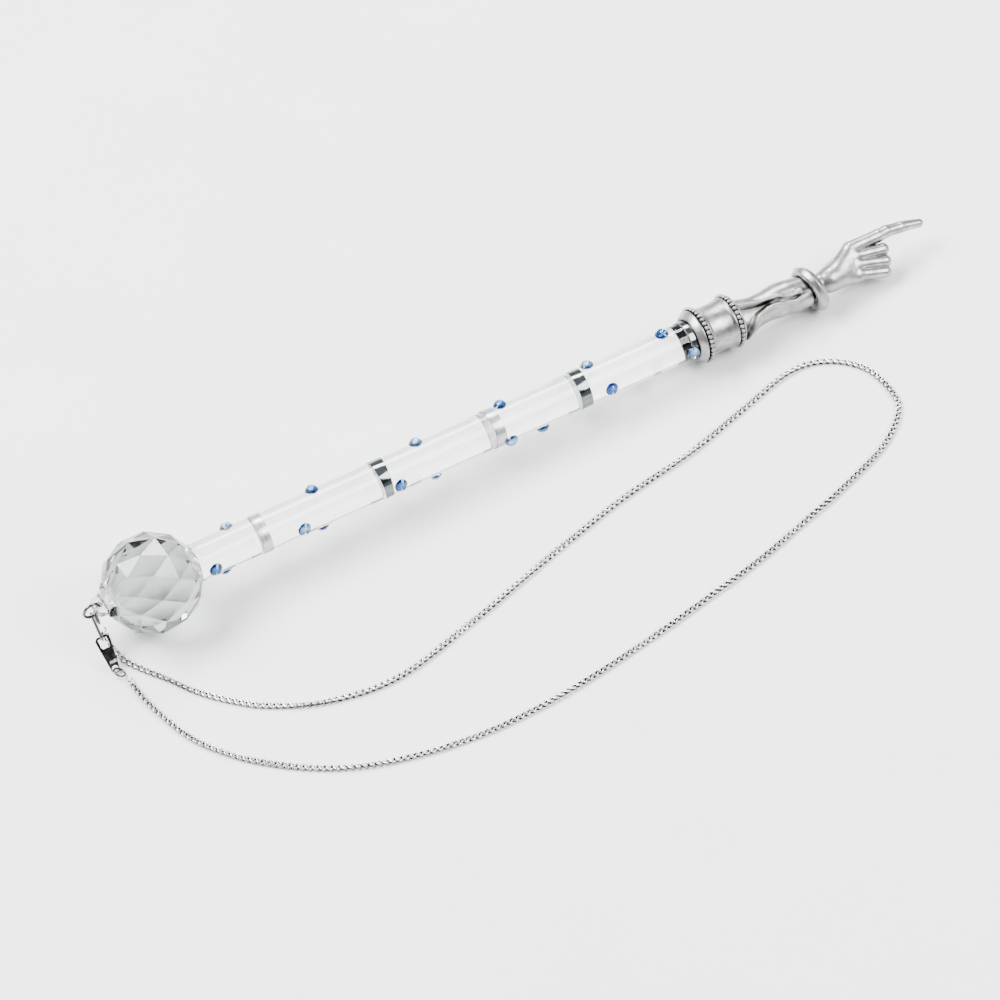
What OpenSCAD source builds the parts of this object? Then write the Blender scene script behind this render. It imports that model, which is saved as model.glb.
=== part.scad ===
// A clear rod with a faceted glass ball at one end, a pewter pointing hand at the other,
// and a neck chain that hangs from the ball's drilled lug. It lies on its ball and its cuff.
// Millimetres. +X runs to the fingertip, +Z is up, and the surface it lies on is z = 0.

/* [Ball and lug] */
// Diameter of the glass ball over its facet corners
ball_d = 30; // [28:0.5:32]
// Facet corners round each ring of the ball
ball_facets = 12; // [8:1:16]
// Width of the lug's flat tab
lug_w = 6.2; // [5:0.2:7]
// Thickness of the lug's tab where it is drilled
lug_t = 2; // [1.6:0.1:2.2]
// Radius of the hole drilled through the lug
lug_hole_r = 1; // [0.9:0.05:1.1]

/* [Rod and bands] */
// Diameter of the solid clear rod
rod_d = 11.4; // [11:0.1:11.8]
// Width of each polished band
band_w = 3.3; // [2.5:0.1:3.5]
// Thickness of the bands and of the end sleeve
band_t = 0.2; // [0.15:0.05:0.3]
// Diameter of the glued stones
stone_d = 4.1; // [3.4:0.1:4.4]
// Height of a stone over the surface it is glued to
stone_h = 1.4; // [1.2:0.1:2]

/* [Finial] */
// Outer radius of the ferrule's barrel
barrel_r = 7.4; // [7.2:0.1:7.6]
// Beads in the rear beaded wire
rear_beads = 36; // [30:1:38]
// Beads in the front beaded wire
front_beads = 34; // [30:1:36]
// Turn of the arm and hand about the rod's axis
hand_roll = 35; // [25:1:45]
// Outer radius of the cuff
cuff_r = 7.5; // [7:0.1:7.7]
// Lean of the cuff towards the hand
cuff_lean = 12; // [0:1:15]

/* [Chain and clasp] */
// Mean radius of the ring in the lug
ring_r = 2.5; // [2.4:0.05:2.6]
// Wire radius of the ring in the lug
ring_wire_r = 0.45; // [0.4:0.01:0.46]
// Slope of the link and clasp below the level
clasp_slope = 40.6; // [38:0.2:43]
// Width of the chain
chain_w = 1.8; // [1.4:0.1:2]

/* [Hidden] */
ball_r = ball_d / 2;
rod_r = rod_d / 2;
metal_r = rod_r + band_t;

// Places along the rod's axis, from the centre of the ball
lug_end_s = -18.9;
lug_hole_s = -17.2;
rod_end_s = 194;
band_s = [33.95, 74.6, 112.85, 142.25];
sleeve_s = 180;
flange_s = 182.3;
rear_bead_s = 185.5;
front_bead_s = 196.4;
rim_s = 198;
cuff_s = 224.1;
knuckle_s = 242;
tip_s = 266;

// The wand lies on its ball and its cuff, so its axis falls towards the hand
ball_lats = [-66, -40, -13.3, 13.3, 40, 66];
seat_s = ball_r * sin(ball_lats[5]) + 0.01;
cuff_wire_r = 1.9;
cuff_mean_r = cuff_r - cuff_wire_r;
cuff_off = 1.3;
cuff_depth = cuff_off * sin(hand_roll) + cuff_wire_r
    + cuff_mean_r * sqrt(1 - pow(sin(cuff_lean) * sin(hand_roll), 2));
lie = asin((ball_r * cos(ball_lats[3]) - 0.1 - cuff_depth) / cuff_s);
mid_x = 123.5;

// Stones: place along the axis, angle from straight up (positive towards -Y), and
// 1 where the stone stands on a band or on the sleeve
row_a = [[27, -40, 0], [55, -28, 0], [90, -28, 0], [118.6, -27, 0], [148.5, -28, 0], [173.5, -15, 0]];
row_b = [[18, 80, 0], [47.5, 80, 0], [80, 80, 0], [117.5, 100, 1], [152, 78, 0], [180.2, 80, 1]];
row_c = [[23, 158, 0], [55.5, 155, 0], [93.5, 153, 0], [129.5, 138, 0], [163, 170, 0]];
row_d = [[31, -100, 0], [66, -100, 0], [104, -100, 0], [137, -100, 0], [170, -100, 0]];
ROWS = [row_a, row_b, row_c, row_d];
ROW_NAMES = ["a", "b", "c", "d"];
// Stones of the deeper blue
DEEP_STONES = ["stone_a2", "stone_a4", "stone_a6", "stone_b1", "stone_b3", "stone_b5",
    "stone_c2", "stone_c4", "stone_d1", "stone_d3", "stone_d5"];

function stone_name(r, i) = str("stone_", ROW_NAMES[r], i + 1);
function deep_blue(name) = len([for (d = DEEP_STONES) if (d == name) d]) > 0;
function band_name(i) = str("band_", i + 1);

glass = [0.86, 0.9, 0.92, 0.6];
mirror_metal = [0.75, 0.77, 0.8];
pewter = [0.55, 0.55, 0.54];
silver = [0.8, 0.8, 0.82];

// Corners of the ball's rings, staggered from one ring to the next
ball_points = [for (k = [0 : len(ball_lats) - 1], i = [0 : ball_facets - 1])
    let (a = 360 * (i + (k % 2) / 2) / ball_facets, c = ball_r * cos(ball_lats[k]))
    [ball_r * sin(ball_lats[k]), c * cos(a), c * sin(a)]];
// The ball stands on its lowest corner
rest_h = max([for (p = ball_points) p[0] * sin(lie) - p[2] * cos(lie)]);

// ---------- placing ----------

// Children are drawn with the rod's axis on X and the ball's centre at the origin
module lay() translate([-mid_x, 0, rest_h]) rotate([0, lie, 0]) children();

// Children are drawn as round pieces on Z, and stand on the rod's axis at s
module on_axis(s) translate([s, 0, 0]) rotate([0, 90, 0]) children();

// The arm and hand: X along the rod, Y towards the index finger's side, Z out of the hand's back
module arm_frame() rotate([hand_roll, 0, 0]) children();

// ---------- ball ----------

function ball_at(k, i) = k * ball_facets + (i + ball_facets) % ball_facets;
ball_sides = [for (k = [0 : len(ball_lats) - 2], i = [0 : ball_facets - 1])
    let (o = k % 2)
    each [[ball_at(k, i), ball_at(k + 1, i + o), ball_at(k, i + 1)],
          [ball_at(k, i + 1), ball_at(k + 1, i + o), ball_at(k + 1, i + o + 1)]]];
ball_caps = [[for (i = [0 : ball_facets - 1]) ball_at(0, i)],
             [for (i = [ball_facets - 1 : -1 : 0]) ball_at(len(ball_lats) - 1, i)]];

// The lug: a block that tapers out of the ball, then the flat drilled tab
module lug_blank() {
    tab_round = 1.6;
    root_s = -ball_r + 3;
    root = [1, 8.4, 5.6];
    shoulder_s = -ball_r - 0.6;
    shoulder = [0.4, 7.4, 3.6];
    hull() {
        translate([root_s, 0, 0]) cube(root, center = true);
        translate([shoulder_s, 0, 0]) cube(shoulder, center = true);
    }
    hull() {
        translate([shoulder_s, 0, 0]) cube([shoulder[0], lug_w, lug_t], center = true);
        for (y = [-1, 1])
            translate([lug_end_s + tab_round, y * (lug_w / 2 - tab_round), 0])
                cylinder(r = tab_round, h = lug_t, center = true, $fn = 24);
    }
}

module crystal_ball() color(glass) lay() difference() {
    union() {
        polyhedron(points = ball_points, faces = concat(ball_sides, ball_caps));
        lug_blank();
    }
    translate([lug_hole_s, 0, 0]) cylinder(r = lug_hole_r, h = 3 * lug_t, center = true, $fn = 48);
}

// ---------- rod, bands and sleeve ----------

module clear_rod() color(glass) lay()
    on_axis(seat_s) cylinder(r = rod_r, h = rod_end_s - seat_s, $fn = 96);

module tube(outer, inner, h) difference() {
    cylinder(r = outer, h = h, $fn = 96);
    translate([0, 0, -1]) cylinder(r = inner, h = h + 2, $fn = 96);
}

module band(i) color(mirror_metal) lay() on_axis(band_s[i]) tube(metal_r, rod_r, band_w);

module end_sleeve() color(mirror_metal) lay()
    on_axis(sleeve_s) tube(metal_r, rod_r, rod_end_s - sleeve_s - 0.2);

// ---------- stones ----------

module stone(r, i) {
    place = ROWS[r][i];
    seat_r = place[2] == 1 ? metal_r : rod_r;
    girdle_r = stone_d / 2;
    girdle_h = 0.5;
    table_r = 0.55 * girdle_r;
    sink = 0.5;
    foot_in = 0.25;
    color(deep_blue(stone_name(r, i)) ? "royalblue" : "lightsteelblue") lay()
        translate([place[0], 0, 0]) rotate([place[1], 0, 0]) difference() {
            translate([0, 0, seat_r - sink]) rotate_extrude($fn = 48)
                polygon([[0, 0], [girdle_r - foot_in, 0], [girdle_r, sink], [girdle_r, sink + girdle_h],
                         [table_r, sink + stone_h], [0, sink + stone_h]]);
            rotate([0, 90, 0]) cylinder(r = seat_r, h = 2 * stone_d, center = true, $fn = 96);
        }
}

// ---------- ferrule ----------

bead_d = 1.4;
groove_r = 7;
groove_half = 0.8;
rear_bead_r = 8.1;
front_bead_r = 7.8;
bore_r = metal_r + 0.02;

module ferrule() color(pewter) lay() rotate([90, 0, 90]) rotate_extrude($fn = 96) polygon([
    [bore_r, flange_s], [6.8, flange_s], [8.2, rear_bead_s - 1.3],
    [7.9, rear_bead_s - groove_half], [groove_r, rear_bead_s - groove_half],
    [groove_r, rear_bead_s + groove_half], [8, rear_bead_s + groove_half],
    [7.9, rear_bead_s + 1.3], [barrel_r, rear_bead_s + 2.2], [barrel_r - 0.2, 190.5],
    [barrel_r, front_bead_s - 2.2], [7.8, front_bead_s - 1.3], [7.8, front_bead_s - groove_half],
    [groove_r, front_bead_s - groove_half], [groove_r, front_bead_s + groove_half],
    [7.6, front_bead_s + groove_half], [7.6, rim_s - 0.3], [7.3, rim_s],
    [0, rim_s], [0, rod_end_s], [bore_r, rod_end_s]
]);

module bead_wire(s, count, centre_r) color(pewter) lay() on_axis(s) {
    rotate_extrude($fn = 96) translate([groove_r, -groove_half + 0.02])
        square([centre_r - groove_r - 0.15, 2 * groove_half - 0.04]);
    for (i = [0 : count - 1]) rotate([0, 0, 360 * i / count])
        translate([centre_r, 0, 0]) sphere(d = bead_d, $fn = 24);
}
module bead_wire_rear() bead_wire(rear_bead_s, rear_beads, rear_bead_r);
module bead_wire_front() bead_wire(front_bead_s, front_beads, front_bead_r);

// ---------- arm, cuff and hand ----------

// Radius of the spigots that seat the arm and the hand in the cuff
spigot_r = 3.95;
arm_end_s = 223;
// Sections of the draped sleeve: place, centre towards the index side, half height, half depth, fold
arm_sections = [
    [rim_s + 0.02, -1, 5.8, 5.2, 0.03], [200, -0.9, 5.3, 4.9, 0.05], [203, -0.7, 4.8, 4.6, 0.05],
    [208, -0.5, 4.6, 4.5, 0.05], [213, -0.4, 4.9, 4.7, 0.05], [217, -0.6, 5.2, 4.9, 0.05],
    [219.4, -0.9, 4.9, 4.7, 0.03], [220.8, -cuff_off, spigot_r, spigot_r, 0],
    [arm_end_s, -cuff_off, spigot_r, spigot_r, 0]
];
arm_sides = 32;
// The sleeve's edge is a low wave that runs round the section as it goes along the arm
function arm_point(c, a) = let (
    wave = 180 + 60 * sin((c[0] - rim_s) * 7),
    lift = 1 + c[4] * cos(2 * (a - wave)))
    [c[0], c[1] + c[2] * lift * cos(a), c[3] * lift * sin(a)];
arm_points = [for (c = arm_sections, i = [0 : arm_sides - 1]) arm_point(c, 360 * i / arm_sides)];
function arm_at(k, i) = k * arm_sides + (i + arm_sides) % arm_sides;

module sleeve_arm() color(pewter) lay() arm_frame() polyhedron(
    points = arm_points,
    faces = concat(
        [for (k = [0 : len(arm_sections) - 2], i = [0 : arm_sides - 1])
            each [[arm_at(k, i), arm_at(k + 1, i), arm_at(k, i + 1)],
                  [arm_at(k, i + 1), arm_at(k + 1, i), arm_at(k + 1, i + 1)]]],
        [[for (i = [0 : arm_sides - 1]) arm_at(0, i)],
         [for (i = [arm_sides - 1 : -1 : 0]) arm_at(len(arm_sections) - 1, i)]]));

cuff_bore_r = spigot_r + 0.05;
module wrist_cuff() color(pewter) lay() arm_frame() translate([cuff_s, -cuff_off, 0]) difference() {
    rotate([0, 0, cuff_lean]) rotate([0, 90, 0]) rotate_extrude($fn = 96)
        translate([cuff_mean_r, 0]) circle(r = cuff_wire_r, $fn = 48);
    rotate([0, 90, 0]) cylinder(r = cuff_bore_r, h = 4 * cuff_wire_r, center = true, $fn = 96);
}

// A tapered, round-ended length of finger or palm
module limb(p, pr, q, qr) hull() {
    translate(p) sphere(r = pr, $fn = 16);
    translate(q) sphere(r = qr, $fn = 16);
}

// A folded finger: out to its middle joint, then the tip turned back under it
module folded_finger(knuckle, joint, r) {
    limb(knuckle, r, joint, r * 0.95);
    limb(joint, r * 0.95, joint + [-4.5, 0.8, -2.9], r * 0.85);
}

wrist_z = 0.2;
module pointing_hand() color(pewter) lay() arm_frame() difference() {
    union() {
        translate([arm_end_s + 0.02, -cuff_off, 0]) rotate([0, 90, 0])
            cylinder(r = spigot_r, h = 3.2, $fn = 64);
        limb([225, -cuff_off, 0], 3.5, [230, -1.1, wrist_z], 3.05);
        // back of the hand, spreading from the wrist to the knuckles
        hull() {
            translate([230, -1.1, wrist_z]) sphere(r = 3.05, $fn = 20);
            translate([knuckle_s - 2, 4.6, wrist_z]) sphere(r = 2.2, $fn = 20);
            translate([knuckle_s - 3, -2.6, wrist_z]) sphere(r = 2.2, $fn = 20);
        }
        // index finger, straight out
        limb([knuckle_s - 1.6, 5, 0.3], 1.9, [252.5, 5.2, wrist_z], 1.5);
        limb([252.5, 5.2, wrist_z], 1.5, [tip_s - 1.1, 3.9, -0.2], 1.1);
        // the other three, folded
        folded_finger([knuckle_s, 3, 0.8], [250.4, 1.9, 0.6], 1.65);
        folded_finger([knuckle_s - 0.5, 0.3, 0.8], [249.6, -1.3, 0.4], 1.65);
        folded_finger([knuckle_s - 1.5, -2.4, 0.5], [248.3, -4.3, 0.1], 1.55);
        // thumb, laid across the folded fingers on the palm side
        limb([233, 2, -1.4], 1.9, [240, 3.6, -3], 1.5);
        limb([240, 3.6, -3], 1.5, [246, 1.2, -4.2], 1.2);
    }
    // the wrist is cut flat where it meets the arm
    translate([arm_end_s - 9.98, -10, -10]) cube([10, 20, 20]);
}

// ---------- ring, link and clasp ----------

ring_dip = 6;
lug_hole = [lug_hole_s * cos(lie) - mid_x, 0, rest_h - lug_hole_s * sin(lie)];
ring_centre = lug_hole + ring_r * [-cos(ring_dip), 0, -sin(ring_dip)];
hang_point = ring_centre - [0, 0, ring_r];
tail_hole_u = 16.4;
link_wire_r = 0.4;
link_in_w = 1.8;
link_roll = -15;
bar_u = 6.6;
bar_half = 0.35;
play = 0.03;
link_in_l = ring_wire_r + bar_u + bar_half + 2 * play;

module lug_ring() color(silver) translate(ring_centre) rotate([90, 0, 0])
    rotate_extrude($fn = 64) translate([ring_r, 0]) circle(r = ring_wire_r, $fn = 32);

// The link and clasp slope down from the ring: X across, -Y down the slope, Z out of the clasp's face
module slope() translate(hang_point) rotate([clasp_slope, 0, 0]) children();

// An oval link in the XY plane, its first bend's inside on the origin, running down -Y
module oval(in_w, in_l, wire_r) {
    bend_r = in_w / 2 + wire_r;
    straight = in_l - in_w;
    translate([0, -in_w / 2, 0]) rotate_extrude(angle = 180, $fn = 48)
        translate([bend_r, 0]) circle(r = wire_r, $fn = 24);
    translate([0, -in_w / 2 - straight, 0]) rotate([0, 0, 180]) rotate_extrude(angle = 180, $fn = 48)
        translate([bend_r, 0]) circle(r = wire_r, $fn = 24);
    for (x = [-1, 1]) translate([x * bend_r, -in_w / 2, 0]) rotate([90, 0, 0])
        cylinder(r = wire_r, h = straight, $fn = 24);
}

module oval_link() color(silver) slope() rotate([0, 90 + link_roll, 0])
    translate([0, ring_wire_r + play, 0]) oval(link_in_w, link_in_l, link_wire_r);

base_t = 0.32;
wide_w = 4.7;
narrow_w = 2.7;
base_top_u = bar_u - bar_half;
base_end_u = tail_hole_u + 1.35;
window_w = 2.8;
window_end_u = bar_u + 3.7;
tail_hole_r = 1;
hinge_u = 14.2;
hinge_z = 0.78;
knuckle_r = 0.42;
knuckle_w = 1.3;
ear_t = 0.35;
pin_r = 0.22;
function width_at(u) = wide_w + (narrow_w - wide_w) * (u - base_top_u) / (base_end_u - base_top_u);

module clasp_outline() {
    end_r = narrow_w / 2;
    polygon([[-wide_w / 2, -base_top_u - 0.8], [-wide_w / 2 + 0.8, -base_top_u],
             [wide_w / 2 - 0.8, -base_top_u], [wide_w / 2, -base_top_u - 0.8],
             [narrow_w / 2, -base_end_u + end_r], [-narrow_w / 2, -base_end_u + end_r]]);
    translate([0, -base_end_u + end_r]) circle(r = end_r, $fn = 48);
}

module hinge_bore(r) translate([0, -hinge_u, hinge_z]) rotate([0, 90, 0])
    cylinder(r = r, h = 6, center = true, $fn = 32);

module clasp_base() color(silver) slope() difference() {
    union() {
        translate([0, 0, -base_t / 2]) linear_extrude(base_t) clasp_outline();
        for (x = [-1, 1]) translate([x * (knuckle_w / 2 + 0.05 + ear_t / 2), -hinge_u, 0]) {
            rotate([0, 90, 0]) translate([-hinge_z, 0, 0])
                cylinder(r = knuckle_r, h = ear_t, center = true, $fn = 32);
            translate([-ear_t / 2, -knuckle_r, 0]) cube([ear_t, 2 * knuckle_r, hinge_z]);
        }
    }
    translate([0, 0, -1]) linear_extrude(2) {
        translate([-window_w / 2, -window_end_u + window_w / 2])
            square([window_w, window_end_u - window_w / 2 - bar_u - bar_half]);
        translate([0, -window_end_u + window_w / 2]) circle(r = window_w / 2, $fn = 48);
    }
    translate([0, -tail_hole_u, -1]) cylinder(r = tail_hole_r, h = 2, $fn = 48);
    hinge_bore(pin_r);
}

cover_t = 0.4;
cover_z = base_t / 2 + 0.06;
cover_top_u = 9.9;
module clasp_cover() color(silver) slope() difference() {
    union() {
        translate([0, 0, cover_z]) linear_extrude(cover_t) {
            cover_top_w = width_at(cover_top_u) - 0.3;
            polygon([[-cover_top_w / 2, -cover_top_u - 0.3], [-cover_top_w / 2 + 0.3, -cover_top_u],
                     [cover_top_w / 2 - 0.3, -cover_top_u], [cover_top_w / 2, -cover_top_u - 0.3],
                     [1.5, -hinge_u + 0.9], [knuckle_w / 2, -hinge_u + 0.5],
                     [knuckle_w / 2, -hinge_u], [-knuckle_w / 2, -hinge_u],
                     [-knuckle_w / 2, -hinge_u + 0.5], [-1.5, -hinge_u + 0.9]]);
        }
        translate([0, -hinge_u, hinge_z]) rotate([0, 90, 0])
            cylinder(r = knuckle_r, h = knuckle_w, center = true, $fn = 32);
    }
    hinge_bore(pin_r + 0.03);
}

module clasp_pin() color(silver) slope() translate([0, -hinge_u, hinge_z]) rotate([0, 90, 0])
    cylinder(r = pin_r, h = knuckle_w + 0.1 + 2 * ear_t, center = true, $fn = 32);

tail_ring_r = 1.75;
tail_wire_r = 0.29;
tail_turn = 25;
tail_dip = 10;
tail_roll = 27;
tail_hole = hang_point + tail_hole_u * [0, -cos(clasp_slope), -sin(clasp_slope)];
tail_shift = 0.16;
module tail_ring() color(silver) translate(tail_hole - [tail_shift, 0, 0])
    rotate([0, 0, tail_turn]) rotate([tail_dip, tail_roll, 0]) translate([0, -tail_ring_r, 0])
        rotate_extrude($fn = 64) translate([tail_ring_r, 0]) circle(r = tail_wire_r, $fn = 24);

// The chain's other end hangs on the ring beside the oval link
end_along = 26;
end_point = ring_centre + ring_r * [sin(end_along), 0, -cos(end_along)];
end_wire_r = 0.3;
end_in_w = 1.7;
end_in_l = 3.4;
end_play = 0.12;
end_slope = 60;
end_turn = 6;
end_roll = 80;
module end_link() color(silver) translate(end_point) rotate([0, 0, end_turn]) rotate([end_slope, 0, 0])
    rotate([0, end_roll, 0]) translate([0, ring_wire_r + end_play, 0]) oval(end_in_w, end_in_l, end_wire_r);

// ---------- chain ----------

// The chain's route over the surface, from the end link round the loop to the tail ring
lying_z = 0.9;
route = [
    [-141.3, -2.4, 8.6], [-141, -3.8, 6.1], [-140.4, -5.5, 3.5], [-139.9, -7.6, 1.6],
    [-139.3, -9.9, lying_z], [-138.4, -12.3, lying_z], [-136.4, -16, lying_z],
    [-132, -23, lying_z], [-127.5, -31, lying_z], [-121, -39, lying_z],
    [-112.5, -46.5, lying_z], [-97, -54, lying_z], [-76, -57, lying_z], [-48, -51, lying_z],
    [-19, -43, lying_z], [13, -35, lying_z], [40, -30.5, lying_z], [61, -25, lying_z],
    [81, -20, lying_z], [93, -22.5, lying_z], [101, -31, lying_z], [102.5, -43, lying_z],
    [99, -50.5, lying_z], [88, -58.5, lying_z], [69, -65.5, lying_z], [57, -69, lying_z],
    [35, -75, lying_z], [12, -79.5, lying_z], [-11, -83.5, lying_z], [-40, -87, lying_z],
    [-67, -87, lying_z], [-91, -82.5, lying_z], [-109, -75, lying_z], [-125, -62.5, lying_z],
    [-136, -47.5, lying_z], [-140.5, -32, lying_z], [-141.6, -20.5, lying_z], [-141.2, -16.6, lying_z]
];
rings_per_span = 2;
chain_sides = 8;

// A smooth point between route points k and k+1
function clamp(i) = max(0, min(len(route) - 1, i));
function smooth(k, t) = let (a = route[clamp(k - 1)], b = route[k], c = route[clamp(k + 1)],
    d = route[clamp(k + 2)])
    0.5 * (2 * b + (c - a) * t + (2 * a - 5 * b + 4 * c - d) * t * t + (3 * b - a - 3 * c + d) * t * t * t);
path = concat([for (k = [0 : len(route) - 2], j = [0 : rings_per_span - 1]) smooth(k, j / rings_per_span)],
    [route[len(route) - 1]]);
function along(i) = let (p = path[max(0, i - 1)], q = path[min(len(path) - 1, i + 1)])
    (q - p) / norm(q - p);
function chain_ring(i) = let (d = along(i), side = cross(d, [0, 0, 1]) / norm(cross(d, [0, 0, 1])),
    up = cross(side, d))
    [for (j = [0 : chain_sides - 1]) let (a = 360 * (j + 0.5) / chain_sides)
        path[i] + chain_w / 2 * (cos(a) * side + sin(a) * up)];
chain_points = [for (i = [0 : len(path) - 1]) each chain_ring(i)];
function chain_at(i, j) = i * chain_sides + j % chain_sides;

module chain() color(silver) polyhedron(points = chain_points, faces = concat(
    [for (i = [0 : len(path) - 2], j = [0 : chain_sides - 1])
        each [[chain_at(i, j), chain_at(i + 1, j), chain_at(i, j + 1)],
              [chain_at(i, j + 1), chain_at(i + 1, j), chain_at(i + 1, j + 1)]]],
    [[for (j = [0 : chain_sides - 1]) chain_at(0, j)],
     [for (j = [chain_sides - 1 : -1 : 0]) chain_at(len(path) - 1, j)]]));

// ---------- the parts ----------

crystal_ball();
clear_rod();
for (i = [0 : len(band_s) - 1])
    band(i);
end_sleeve();
ferrule();
bead_wire_rear();
bead_wire_front();
sleeve_arm();
wrist_cuff();
pointing_hand();
lug_ring();
oval_link();
clasp_base();
clasp_cover();
clasp_pin();
tail_ring();
end_link();
chain();
for (r = [0 : len(ROWS) - 1], i = [0 : len(ROWS[r]) - 1])
    stone(r, i);
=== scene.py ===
import math
import bmesh
import bpy
import numpy as np
from mathutils import Matrix, Vector


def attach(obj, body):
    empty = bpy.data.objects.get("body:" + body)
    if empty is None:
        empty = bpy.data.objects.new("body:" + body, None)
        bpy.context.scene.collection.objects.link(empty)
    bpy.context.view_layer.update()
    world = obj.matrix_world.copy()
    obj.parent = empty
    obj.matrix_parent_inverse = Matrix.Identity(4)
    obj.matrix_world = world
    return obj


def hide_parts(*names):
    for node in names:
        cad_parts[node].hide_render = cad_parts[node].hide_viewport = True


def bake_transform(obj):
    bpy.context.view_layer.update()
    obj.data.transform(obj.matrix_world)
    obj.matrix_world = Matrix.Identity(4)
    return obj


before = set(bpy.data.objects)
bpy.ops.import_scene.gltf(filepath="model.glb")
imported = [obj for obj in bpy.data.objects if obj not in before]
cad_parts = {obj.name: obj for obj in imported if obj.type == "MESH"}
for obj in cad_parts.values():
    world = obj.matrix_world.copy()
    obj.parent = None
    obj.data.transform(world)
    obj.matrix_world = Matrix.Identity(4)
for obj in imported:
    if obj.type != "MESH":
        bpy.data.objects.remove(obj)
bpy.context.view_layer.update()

MM = 0.001

# ---------- camera ----------

CAMERA_PLACE = Vector((-0.8638, -1.3856, 1.9619))
CAMERA_HEADING = math.radians(31.75)
CAMERA_DROP = math.radians(50.62)
CAMERA_LENS = 315

away = Vector((math.sin(CAMERA_HEADING), math.cos(CAMERA_HEADING), 0))
forward = away * math.cos(CAMERA_DROP) - Vector((0, 0, 1)) * math.sin(CAMERA_DROP)
camera_data = bpy.data.cameras.new("camera")
camera_data.lens = CAMERA_LENS
camera_data.sensor_width = 36
camera_data.clip_end = 20
camera = bpy.data.objects.new("camera", camera_data)
camera.location = CAMERA_PLACE
camera.rotation_euler = forward.to_track_quat("-Z", "Y").to_euler()
bpy.context.scene.collection.objects.link(camera)
bpy.context.scene.camera = camera

# ---------- the frame's own measures, from the CAD source ----------

# How far the rod slopes down towards the hand, and the ball's middle, where s is 0
LIE = math.radians(1.60889)
MID_X = 123.5
REST_H = 14.495
# The hand's turn about the rod's axis
HAND_ROLL = math.radians(35)
# The rod from its seat on the ball to its end in the ferrule, and the metal round it
SEAT_S = 13.703
ROD_END_S = 194
ROD_R = 5.7
METAL_R = 5.9
# The middle of the cuff, along the rod and off its axis
CUFF_S = 224.1
CUFF_OFF = 1.3


def wand(points):
    """Points (s, y, z) about the rod's axis, in millimetres, to the shared frame, in metres."""
    p = np.asarray(points, float).reshape(-1, 3)
    x = p[:, 0] * math.cos(LIE) + p[:, 2] * math.sin(LIE) - MID_X
    z = -p[:, 0] * math.sin(LIE) + p[:, 2] * math.cos(LIE) + REST_H
    return np.column_stack((x, p[:, 1], z)) * MM


def arm(points):
    """Points in the hand's own frame: s, towards the index side, out of the hand's back."""
    p = np.asarray(points, float).reshape(-1, 3)
    y = p[:, 1] * math.cos(HAND_ROLL) - p[:, 2] * math.sin(HAND_ROLL)
    z = p[:, 1] * math.sin(HAND_ROLL) + p[:, 2] * math.cos(HAND_ROLL)
    return wand(np.column_stack((p[:, 0], y, z)))


def turned(matrix):
    """A placing by a 4 x 4 matrix in millimetres."""
    m = np.array(matrix)

    def place(points):
        p = np.asarray(points, float).reshape(-1, 3)
        return (p @ m[:3, :3].T + m[:3, 3]) * MM
    return place


def plain(points):
    """Points of the shared frame in millimetres, to metres."""
    return np.asarray(points, float).reshape(-1, 3) * MM


# ---------- mesh helpers ----------

def grid_faces(rows, columns, close_rows=False, start=0):
    """Quads between rows of points that each close on themselves."""
    faces = []
    for i in range(rows if close_rows else rows - 1):
        for j in range(columns):
            a = start + i * columns + j
            b = start + i * columns + (j + 1) % columns
            c = start + ((i + 1) % rows) * columns + (j + 1) % columns
            d = start + ((i + 1) % rows) * columns + j
            faces.append((a, b, c, d))
    return faces


def piece(name, points, faces, place, materials, body, replaces=(), sharp=None, picks=None):
    """One visible object. sharp is the angle in degrees over which an edge stays hard.

    body is None only for the piece that is attached to no body.
    """
    mesh = bpy.data.meshes.new(name)
    mesh.from_pydata(place(points).tolist(), [], faces)
    work = bmesh.new()
    work.from_mesh(mesh)
    bmesh.ops.recalc_face_normals(work, faces=work.faces)
    work.to_mesh(mesh)
    work.free()
    for material in materials:
        mesh.materials.append(material)
    if picks is not None:
        mesh.polygons.foreach_set("material_index", np.asarray(picks, np.int32))
    if sharp == 0:
        mesh.shade_flat()
    else:
        mesh.shade_smooth()
        if sharp:
            mesh.set_sharp_from_angle(angle=math.radians(sharp))
    made = bpy.data.objects.new(name, mesh)
    bpy.context.scene.collection.objects.link(made)
    if body:
        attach(made, body)
    if replaces:
        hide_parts(*replaces)
    return made


def end_caps(rows, columns, start=0):
    """The first and the last row of a grid, each closed by one face."""
    last = start + (rows - 1) * columns
    return [tuple(range(start, start + columns)), tuple(range(last, last + columns))]


def rounded(profile, radius, steps=4):
    """A closed outline with each corner turned into a short curve."""
    out = []
    for i, corner in enumerate(profile):
        p = np.array(corner, float)
        before = np.array(profile[i - 1], float) - p
        after = np.array(profile[(i + 1) % len(profile)], float) - p
        cut_a = min(radius, 0.45 * np.linalg.norm(before))
        cut_b = min(radius, 0.45 * np.linalg.norm(after))
        a = p + before / np.linalg.norm(before) * cut_a
        b = p + after / np.linalg.norm(after) * cut_b
        for t in np.linspace(0, 1, steps):
            out.append((1 - t) ** 2 * a + 2 * t * (1 - t) * p + t * t * b)
    return np.array(out)


def lathe(profile, sides):
    """A closed outline of (radius, s) turned about the rod's axis."""
    profile = np.asarray(profile, float)
    turn = np.linspace(0, 2 * math.pi, sides, endpoint=False)
    points = [(s, r * math.cos(a), r * math.sin(a)) for r, s in profile for a in turn]
    return points, grid_faces(len(profile), sides, close_rows=True)


def solid_lathe(profile, sides):
    """An open outline of (radius, s) turned about the axis, with a flat face at each end."""
    points = lathe(profile, sides)[0]
    return points, grid_faces(len(profile), sides) + end_caps(len(profile), sides)


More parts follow.
